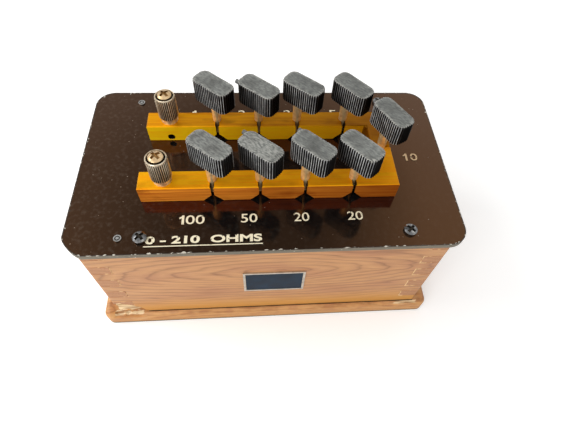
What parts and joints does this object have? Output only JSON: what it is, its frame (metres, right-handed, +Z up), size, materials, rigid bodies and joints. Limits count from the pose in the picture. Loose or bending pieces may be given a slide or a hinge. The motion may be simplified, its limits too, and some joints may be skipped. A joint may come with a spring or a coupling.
{
  "type": "plug resistance box",
  "caption": "Wooden plug-type resistance box: brass blocks on a black panel, taper plugs with ribbed heads that short the coils below, and knurled terminals.",
  "frame": {"origin": "middle of the underside of the base board", "axes": "+Z up, +X along the rows of blocks to the link at the right, +Y to the back"},
  "size_m": [0.209, 0.1144, 0.1255],
  "materials": {
    "case_wood": "varnished, satin",
    "base_wood": "varnished, satin",
    "panel": "polished",
    "plate": "enamelled",
    "brass": "brushed along the rows",
    "pale_brass": "turned",
    "ebonite": "moulded, worn",
    "nickel": "knurled nickel plate",
    "bright_steel": "plain",
    "black_steel": "blackened",
    "bobbin": "moulded",
    "winding": "enamelled wire",
    "copper": "bare copper wire"
  },
  "bodies": {
    "case": {"base_board": "base_wood", "front_wall": "case_wood", "rear_wall": "case_wood", "left_wall": "case_wood", "right_wall": "case_wood", "base_screws": "bright_steel", "top_panel": "panel", "panel_screws": "black_steel", "panel_pins": "bright_steel", "name_plate": "plate", "front_block_1": "brass", "front_block_2": "brass", "front_block_3": "brass", "front_block_4": "brass", "front_block_5": "brass", "rear_block_1": "brass", "rear_block_2": "brass", "rear_block_3": "brass", "rear_block_4": "brass", "rear_block_5": "brass", "block_studs": "brass", "stud_washers": "bright_steel", "solder_tags": "bright_steel", "stud_nuts": "brass", "bobbins": "bobbin", "bobbin_nuts": "brass", "coil_leads": "copper", "coil_front_1": "winding", "coil_front_2": "winding", "coil_front_3": "winding", "coil_front_4": "winding", "coil_rear_1": "winding", "coil_rear_2": "winding", "coil_rear_3": "winding", "coil_rear_4": "winding", "coil_link": "winding", "terminal_posts": "pale_brass"},
    "plug_front_1": {"plug_pin_front_1": "pale_brass", "plug_head_front_1": "ebonite"},
    "plug_front_2": {"plug_pin_front_2": "pale_brass", "plug_head_front_2": "ebonite"},
    "plug_front_3": {"plug_pin_front_3": "pale_brass", "plug_head_front_3": "ebonite"},
    "plug_front_4": {"plug_pin_front_4": "pale_brass", "plug_head_front_4": "ebonite"},
    "plug_rear_1": {"plug_pin_rear_1": "pale_brass", "plug_head_rear_1": "ebonite"},
    "plug_rear_2": {"plug_pin_rear_2": "pale_brass", "plug_head_rear_2": "ebonite"},
    "plug_rear_3": {"plug_pin_rear_3": "pale_brass", "plug_head_rear_3": "ebonite"},
    "plug_rear_4": {"plug_pin_rear_4": "pale_brass", "plug_head_rear_4": "ebonite"},
    "plug_link": {"plug_pin_link": "pale_brass", "plug_head_link": "ebonite"},
    "washer_front": {"terminal_washer_front": "nickel"},
    "nut_front": {"terminal_nut_front": "nickel"},
    "washer_rear": {"terminal_washer_rear": "nickel"},
    "nut_rear": {"terminal_nut_rear": "nickel"}
  },
  "joints": [
    {"name": "pull_front_1", "type": "slide", "parent": "case", "child": "plug_front_1", "axis": [0, 0, 1], "range_m": [0, 0.045]},
    {"name": "pull_front_2", "type": "slide", "parent": "case", "child": "plug_front_2", "axis": [0, 0, 1], "range_m": [0, 0.045]},
    {"name": "pull_front_3", "type": "slide", "parent": "case", "child": "plug_front_3", "axis": [0, 0, 1], "range_m": [0, 0.045]},
    {"name": "pull_front_4", "type": "slide", "parent": "case", "child": "plug_front_4", "axis": [0, 0, 1], "range_m": [0, 0.045]},
    {"name": "pull_rear_1", "type": "slide", "parent": "case", "child": "plug_rear_1", "axis": [0, 0, 1], "range_m": [0, 0.045]},
    {"name": "pull_rear_2", "type": "slide", "parent": "case", "child": "plug_rear_2", "axis": [0, 0, 1], "range_m": [0, 0.045]},
    {"name": "pull_rear_3", "type": "slide", "parent": "case", "child": "plug_rear_3", "axis": [0, 0, 1], "range_m": [0, 0.045]},
    {"name": "pull_rear_4", "type": "slide", "parent": "case", "child": "plug_rear_4", "axis": [0, 0, 1], "range_m": [0, 0.045]},
    {"name": "pull_link", "type": "slide", "parent": "case", "child": "plug_link", "axis": [0, 0, 1], "range_m": [0, 0.045]},
    {"name": "lift_front", "type": "slide", "parent": "case", "child": "washer_front", "axis": [0, 0, 1], "range_m": [0, 0.0028]},
    {"name": "turn_front", "type": "hinge", "parent": "washer_front", "child": "nut_front", "pos_m": [-0.054, -0.0203, 0.1005], "axis": [0, 0, 1], "range_deg": [0, 1440]},
    {"name": "lift_rear", "type": "slide", "parent": "case", "child": "washer_rear", "axis": [0, 0, 1], "range_m": [0, 0.0028]},
    {"name": "turn_rear", "type": "hinge", "parent": "washer_rear", "child": "nut_rear", "pos_m": [-0.054, 0.0227, 0.1005], "axis": [0, 0, 1], "range_deg": [0, 1440]}
  ],
  "couplings": [
    {"joint": "lift_front", "follows": "turn_front", "m_per_rad": 0.00011141},
    {"joint": "lift_rear", "follows": "turn_rear", "m_per_rad": 0.00011141}
  ]
}
